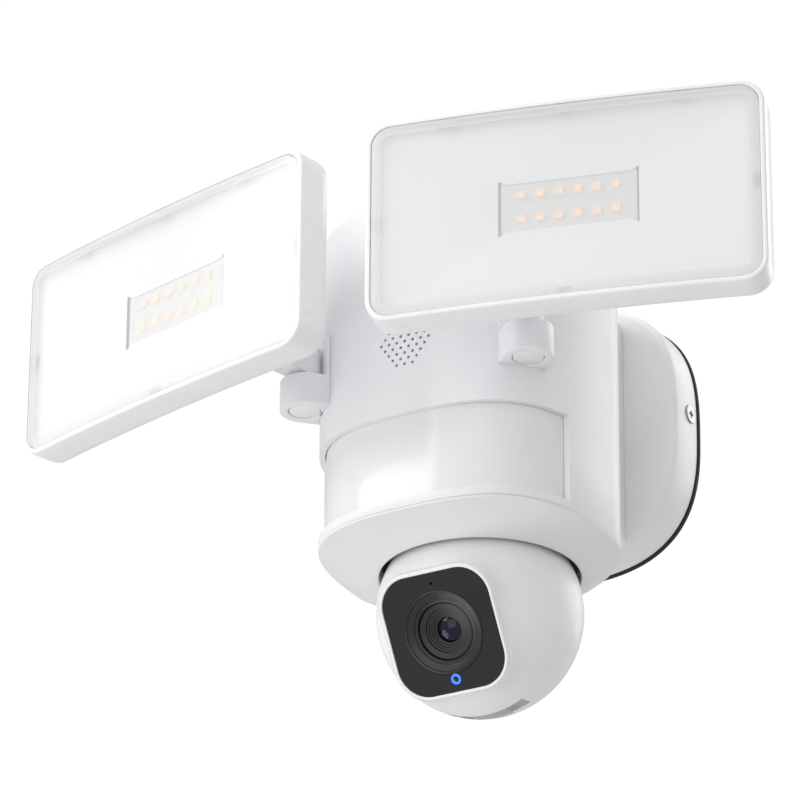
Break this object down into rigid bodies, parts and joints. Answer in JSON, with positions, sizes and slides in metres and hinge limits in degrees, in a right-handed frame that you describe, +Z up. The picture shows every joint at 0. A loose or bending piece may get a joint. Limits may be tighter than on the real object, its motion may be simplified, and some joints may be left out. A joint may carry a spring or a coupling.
{
  "type": "floodlight security camera",
  "caption": "Wall-mounted floodlight camera with swivelling light panels, a pan and tilt ball camera, motion sensor window and speaker grille.",
  "frame": {"origin": "centre of the back of the base, on the wall", "axes": "-Y is the front, away from the wall; +Z is up; +X is to the right seen from the front"},
  "size_m": [0.3484, 0.2129, 0.212],
  "materials": {
    "white_plastic": "satin white",
    "grey_plastic": "matt",
    "steel": "brushed",
    "black_rubber": "matt",
    "blue_plastic": "matt",
    "circuit_board": "matt",
    "black_plastic": "matt",
    "window_plastic": "gloss",
    "motor_metal": "satin",
    "gear_plastic": "matt",
    "black_gloss": "high gloss",
    "blue_light": "gloss",
    "clear_glass": "polished",
    "aluminium": "plain",
    "grey_rubber": "matt",
    "led_board": "matt",
    "led_chip": "gloss",
    "reflector_white": "satin",
    "frosted_lens": "frosted"
  },
  "bodies": {
    "housing": {"wall_bracket": "steel", "wall_gasket": "black_rubber", "base_shell": "white_plastic", "base_screws": "steel", "terminal_block": "blue_plastic", "power_board": "circuit_board", "rear_shell": "white_plastic", "neck": "white_plastic", "front_shell": "white_plastic", "body_screws": "steel", "lower_bezel": "white_plastic", "pan_deck": "grey_plastic", "speaker_driver": "black_plastic", "main_board": "circuit_board", "wifi_antenna": "circuit_board", "pir_window": "window_plastic", "pir_board": "circuit_board", "pir_sensors": "steel", "pan_motor": "motor_metal", "left_bracket": "white_plastic", "right_bracket": "white_plastic"},
    "pan_pinion": {"pan_pinion": "gear_plastic"},
    "pan_head": {"pan_gear": "gear_plastic", "yoke": "black_plastic", "tilt_motor": "motor_metal", "tilt_pins": "steel"},
    "tilt_pinion": {"tilt_pinion": "gear_plastic"},
    "camera_ball": {"ball_front_shell": "white_plastic", "ball_rear_shell": "white_plastic", "face_glass": "black_gloss", "status_light": "blue_light", "lens_ring": "black_plastic", "lens_barrel": "black_plastic", "lens_glass": "clear_glass", "camera_chassis": "aluminium", "image_board": "circuit_board", "tilt_gear": "gear_plastic", "card_slot": "steel", "card_hinge_pin": "steel"},
    "card_cover": {"card_cover": "grey_rubber"},
    "sync_button": {"sync_button": "black_plastic"},
    "left_arm": {"left_arm": "white_plastic", "left_swivel_pin": "white_plastic"},
    "left_panel": {"left_tilt_pin": "steel", "left_housing": "white_plastic", "left_heat_sink": "aluminium", "left_led_board": "led_board", "left_leds": "led_chip", "left_reflector": "reflector_white", "left_lens": "frosted_lens"},
    "right_arm": {"right_arm": "white_plastic", "right_swivel_pin": "white_plastic"},
    "right_panel": {"right_tilt_pin": "steel", "right_housing": "white_plastic", "right_heat_sink": "aluminium", "right_led_board": "led_board", "right_leds": "led_chip", "right_reflector": "reflector_white", "right_lens": "frosted_lens"}
  },
  "joints": [
    {"name": "camera_pan", "type": "hinge", "parent": "housing", "child": "pan_head", "pos_m": [0, -0.088, -0.06], "axis": [0, 0, 1], "range_deg": [-170, 170]},
    {"name": "pan_pinion_spin", "type": "hinge", "parent": "housing", "child": "pan_pinion", "pos_m": [-0.024, -0.088, -0.048], "axis": [0, 0, 1], "range_deg": [-520, 520]},
    {"name": "camera_tilt", "type": "hinge", "parent": "pan_head", "child": "camera_ball", "pos_m": [0, -0.088, -0.107], "axis": [1, 0, 0], "range_deg": [-9, 44]},
    {"name": "tilt_pinion_spin", "type": "hinge", "parent": "pan_head", "child": "tilt_pinion", "pos_m": [0, -0.088, -0.0918], "axis": [1, 0, 0], "range_deg": [-130, 30]},
    {"name": "card_cover_hinge", "type": "hinge", "parent": "camera_ball", "child": "card_cover", "pos_m": [0, -0.0751, -0.14556], "axis": [1, 0, 0], "range_deg": [0, 80]},
    {"name": "sync_button_press", "type": "slide", "parent": "camera_ball", "child": "sync_button", "axis": [0, -0.2079, 0.9781], "range_m": [0, 0.0004], "stiffness_N_per_m": 500},
    {"name": "right_swivel", "type": "hinge", "parent": "housing", "child": "right_arm", "pos_m": [0.05265, -0.1438, -0.004], "axis": [0, 0, 1], "range_deg": [-5, 45]},
    {"name": "right_tilt", "type": "hinge", "parent": "right_arm", "child": "right_panel", "pos_m": [0.06082, -0.17505, -0.004], "axis": [0.9675, 0.2529, 0], "range_deg": [-30, 35]},
    {"name": "left_swivel", "type": "hinge", "parent": "housing", "child": "left_arm", "pos_m": [-0.05265, -0.1438, -0.004], "axis": [0, 0, 1], "range_deg": [-45, 5]},
    {"name": "left_tilt", "type": "hinge", "parent": "left_arm", "child": "left_panel", "pos_m": [-0.06082, -0.17505, -0.004], "axis": [0.9675, -0.2529, 0], "range_deg": [-30, 35]}
  ],
  "couplings": [
    {"joint": "pan_pinion_spin", "follows": "camera_pan", "ratio": -3},
    {"joint": "tilt_pinion_spin", "follows": "camera_tilt", "ratio": -2.8}
  ]
}
